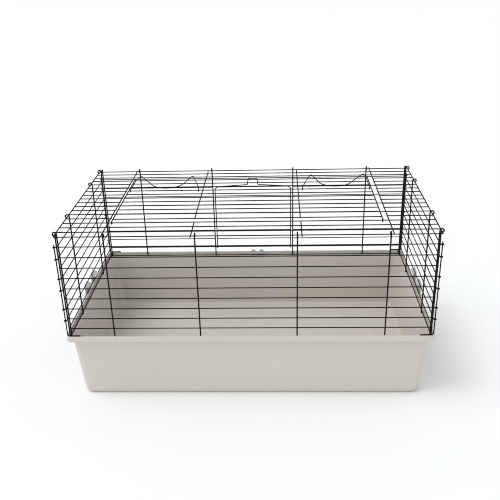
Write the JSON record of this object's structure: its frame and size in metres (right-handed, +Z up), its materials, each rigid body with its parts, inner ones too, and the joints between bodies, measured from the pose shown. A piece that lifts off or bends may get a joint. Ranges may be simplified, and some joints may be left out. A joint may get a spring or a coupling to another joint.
{
  "type": "rabbit cage",
  "caption": "Long indoor rabbit cage: a deep moulded tray under a bar-wire top with a hinged roof lid, bent-wire lid latches, a drop-down side door and side clips.",
  "frame": {"origin": "centre of the tray's underside, where the cage stands on the floor", "axes": "+X along the length, +Y across the depth towards the wall with the door, +Z up"},
  "size_m": [1.016, 0.5468, 0.4995],
  "materials": {
    "tray_plastic": "satin warm light grey moulding",
    "black_wire": "semi-gloss near-black coating on steel wire",
    "clip_plastic": "satin light grey moulding",
    "pin_steel": "plain drawn steel"
  },
  "bodies": {
    "tray": {"tray": "tray_plastic", "left_clip_pin": "pin_steel", "right_clip_pin": "pin_steel", "back_rim_clip": "clip_plastic"},
    "wire_top": {"front_panel": "black_wire", "back_panel": "black_wire", "left_panel": "black_wire", "right_panel": "black_wire", "roof_panel": "black_wire", "front_left_corner_rod": "black_wire", "front_right_corner_rod": "black_wire", "back_left_corner_rod": "black_wire", "back_right_corner_rod": "black_wire"},
    "roof_lid": {"roof_lid": "black_wire"},
    "left_latch": {"left_lid_latch": "black_wire"},
    "right_latch": {"right_lid_latch": "black_wire"},
    "back_door": {"back_door": "black_wire", "door_tab": "black_wire"},
    "left_clip": {"left_tray_clip": "clip_plastic"},
    "right_clip": {"right_tray_clip": "clip_plastic"}
  },
  "joints": [
    {"name": "wire_top_lift", "type": "slide", "parent": "tray", "child": "wire_top", "axis": [0, 0, 1], "range_m": [0, 0.35]},
    {"name": "roof_lid_hinge", "type": "hinge", "parent": "wire_top", "child": "roof_lid", "pos_m": [0, -0.16921, 0.4883], "axis": [1, 0, 0], "range_deg": [0, 165]},
    {"name": "left_latch_hinge", "type": "hinge", "parent": "roof_lid", "child": "left_latch", "pos_m": [-0.252, 0.07691, 0.48895], "axis": [1, 0, 0], "range_deg": [0, 165]},
    {"name": "right_latch_hinge", "type": "hinge", "parent": "roof_lid", "child": "right_latch", "pos_m": [0.252, 0.07691, 0.48895], "axis": [1, 0, 0], "range_deg": [0, 165]},
    {"name": "back_door_hinge", "type": "hinge", "parent": "wire_top", "child": "back_door", "pos_m": [0, 0.2636, 0.21793], "axis": [-1, 0, 0], "range_deg": [0, 135]},
    {"name": "left_clip_hinge", "type": "hinge", "parent": "tray", "child": "left_clip", "pos_m": [-0.5043, 0.028, 0.19], "axis": [0, -1, 0], "range_deg": [0, 110]},
    {"name": "right_clip_hinge", "type": "hinge", "parent": "tray", "child": "right_clip", "pos_m": [0.5043, 0.028, 0.19], "axis": [0, 1, 0], "range_deg": [0, 110]}
  ]
}
